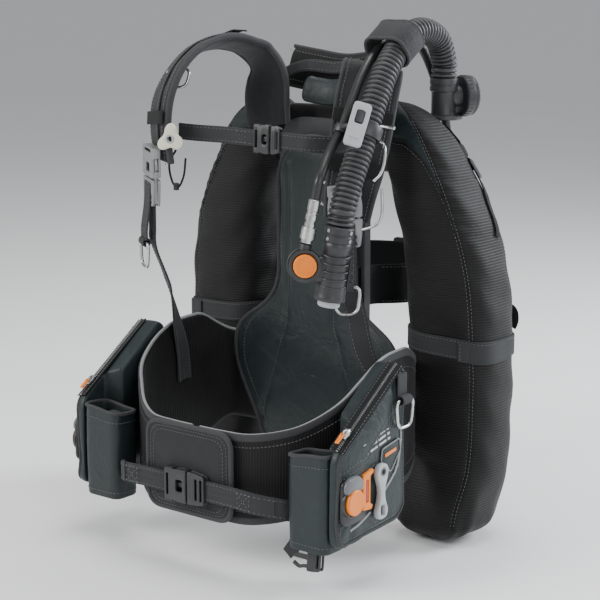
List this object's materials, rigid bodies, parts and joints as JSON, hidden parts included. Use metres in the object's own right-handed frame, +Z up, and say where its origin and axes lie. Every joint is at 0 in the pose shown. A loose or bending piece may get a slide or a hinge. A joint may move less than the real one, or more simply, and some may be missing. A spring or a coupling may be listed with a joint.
{
  "type": "buoyancy compensator vest",
  "caption": "Back-inflation scuba vest: two-lobed air cell on a backpack plate, padded straps and waist, zipped pockets, weight cassettes, power inflator.",
  "frame": {"origin": "middle of the underside of the air cell's two lobes, at the middle of the vest's width and depth", "axes": "+Z up, -Y the way the diver faces, +X to the diver's left"},
  "size_m": [0.4776, 0.4758, 0.6291],
  "materials": {
    "shell": "matte",
    "slate": "satin",
    "webbing": "matte",
    "mesh": "matte",
    "plastic": "satin",
    "silver": "satin",
    "clip": "satin",
    "hose": "satin",
    "steel": "polished",
    "orange": "gloss",
    "ivory": "satin",
    "plate": "satin"
  },
  "bodies": {
    "vest": {"wing_bladder": "shell", "backpack_plate": "plate", "back_pad": "slate", "tank_band": "webbing", "cam_buckle_frame": "plastic", "collar_pad": "slate", "shoulder_yoke": "shell", "grab_handle": "webbing", "shoulder_strap_right": "slate", "shoulder_strap_left": "slate", "shoulder_socket_right": "silver", "lower_strap_right": "webbing", "shoulder_socket_left": "silver", "lower_strap_left": "webbing", "sternum_socket": "plastic", "sternum_webbing_right": "webbing", "sternum_webbing_left": "webbing", "waistband_right": "shell", "waistband_left": "shell", "waist_panel": "slate", "waist_socket": "plastic", "waist_webbing_left": "webbing", "waist_webbing_right": "webbing", "pocket_right": "slate", "weight_sleeve_right": "shell", "pocket_left": "slate", "weight_sleeve_left": "shell", "side_strap_right": "webbing", "side_strap_left": "webbing", "inflator_elbow": "plastic", "inflator_body": "plastic", "lp_coupler": "steel", "corrugated_hose": "hose", "lp_hose": "plastic", "lp_hose_fitting": "steel", "hose_retainer": "shell", "hose_clip": "clip", "rear_dump_valve": "plastic"},
    "inflate_button": {"inflate_button": "orange"},
    "deflate_button": {"deflate_button": "ivory"},
    "coupler_collar": {"coupler_collar": "steel"},
    "sternum_plug": {"sternum_plug": "plastic"},
    "waist_plug": {"waist_plug": "plastic"},
    "shoulder_plug_right": {"shoulder_plug_right": "silver"},
    "shoulder_plug_left": {"shoulder_plug_left": "silver"},
    "tail_ring_right": {"tail_ring_right": "steel"},
    "tail_ring_left": {"tail_ring_left": "steel"},
    "hip_ring_right": {"hip_ring_right": "steel"},
    "hip_ring_left": {"hip_ring_left": "steel"},
    "cam_lever": {"cam_buckle_lever": "plastic"},
    "zipper_slider_right": {"zipper_slider_right": "steel"},
    "zipper_slider_left": {"zipper_slider_left": "steel"},
    "weight_cassette_right": {"weight_cassette_right": "mesh", "pull_handle_right": "ivory"},
    "weight_cassette_left": {"weight_cassette_left": "mesh", "pull_handle_left": "ivory"},
    "release_button_right": {"release_button_right": "orange"},
    "release_button_left": {"release_button_left": "orange"},
    "dump_toggle": {"dump_toggle": "ivory"},
    "rear_dump_knob": {"rear_dump_knob": "ivory"}
  },
  "joints": [
    {"name": "inflate_press", "type": "slide", "parent": "vest", "child": "inflate_button", "axis": [-0.6159, 0.7878, 0], "range_m": [0, 0.0035], "stiffness_N_per_m": 300},
    {"name": "deflate_press", "type": "slide", "parent": "vest", "child": "deflate_button", "axis": [0.1099, 0.0859, 0.9902], "range_m": [0, 0.005], "stiffness_N_per_m": 250},
    {"name": "coupler_release", "type": "slide", "parent": "vest", "child": "coupler_collar", "axis": [0.1556, 0.1216, 0.9803], "range_m": [0, 0.003], "stiffness_N_per_m": 400},
    {"name": "sternum_release", "type": "slide", "parent": "vest", "child": "sternum_plug", "axis": [0.9987, 0.04, -0.03], "range_m": [0, 0.018]},
    {"name": "waist_release", "type": "slide", "parent": "vest", "child": "waist_plug", "axis": [1, 0, 0], "range_m": [0, 0.036]},
    {"name": "shoulder_release_right", "type": "slide", "parent": "vest", "child": "shoulder_plug_right", "axis": [-0.0598, 0.0598, -0.9964], "range_m": [0, 0.03]},
    {"name": "tail_ring_swing_right", "type": "hinge", "parent": "shoulder_plug_right", "child": "tail_ring_right", "pos_m": [-0.15103, -0.13781, 0.35806], "axis": [0.8641, -0.4966, -0.0816], "range_deg": [-75, 8]},
    {"name": "shoulder_release_left", "type": "slide", "parent": "vest", "child": "shoulder_plug_left", "axis": [0.0599, -0.02, -0.998], "range_m": [0, 0.03]},
    {"name": "tail_ring_swing_left", "type": "hinge", "parent": "shoulder_plug_left", "child": "tail_ring_left", "pos_m": [0.106, -0.0692, 0.32065], "axis": [0.8662, 0.4978, 0.042], "range_deg": [-75, 0]},
    {"name": "hip_ring_swing_left", "type": "hinge", "parent": "vest", "child": "hip_ring_left", "pos_m": [0.2094, -0.0975, 0.208], "axis": [0, 1, 0], "range_deg": [-80, 4]},
    {"name": "hip_ring_swing_right", "type": "hinge", "parent": "vest", "child": "hip_ring_right", "pos_m": [-0.2094, -0.0975, 0.208], "axis": [0, 1, 0], "range_deg": [-4, 80]},
    {"name": "cam_lever_swing", "type": "hinge", "parent": "vest", "child": "cam_lever", "pos_m": [-0.03, 0.2349, 0.3], "axis": [0, 0, 1], "range_deg": [0, 100]},
    {"name": "zipper_right", "type": "slide", "parent": "vest", "child": "zipper_slider_right", "axis": [0, 0.8222, 0.5692], "range_m": [0, 0.08]},
    {"name": "weight_lift_right", "type": "slide", "parent": "vest", "child": "weight_cassette_right", "axis": [0, 0, 1], "range_m": [0, 0.105]},
    {"name": "zipper_left", "type": "slide", "parent": "vest", "child": "zipper_slider_left", "axis": [0, 0.8222, 0.5692], "range_m": [0, 0.08]},
    {"name": "weight_lift_left", "type": "slide", "parent": "vest", "child": "weight_cassette_left", "axis": [0, 0, 1], "range_m": [0, 0.105]},
    {"name": "weight_release_left", "type": "slide", "parent": "vest", "child": "release_button_left", "axis": [-1, 0, 0], "range_m": [0, 0.004], "stiffness_N_per_m": 300},
    {"name": "weight_release_right", "type": "slide", "parent": "vest", "child": "release_button_right", "axis": [1, 0, 0], "range_m": [0, 0.004], "stiffness_N_per_m": 300},
    {"name": "shoulder_dump", "type": "slide", "parent": "vest", "child": "dump_toggle", "axis": [0, 0, -1], "range_m": [0, 0.02], "stiffness_N_per_m": 200},
    {"name": "rear_dump", "type": "slide", "parent": "vest", "child": "rear_dump_knob", "axis": [0, 0, -1], "range_m": [0, 0.015], "stiffness_N_per_m": 200}
  ]
}
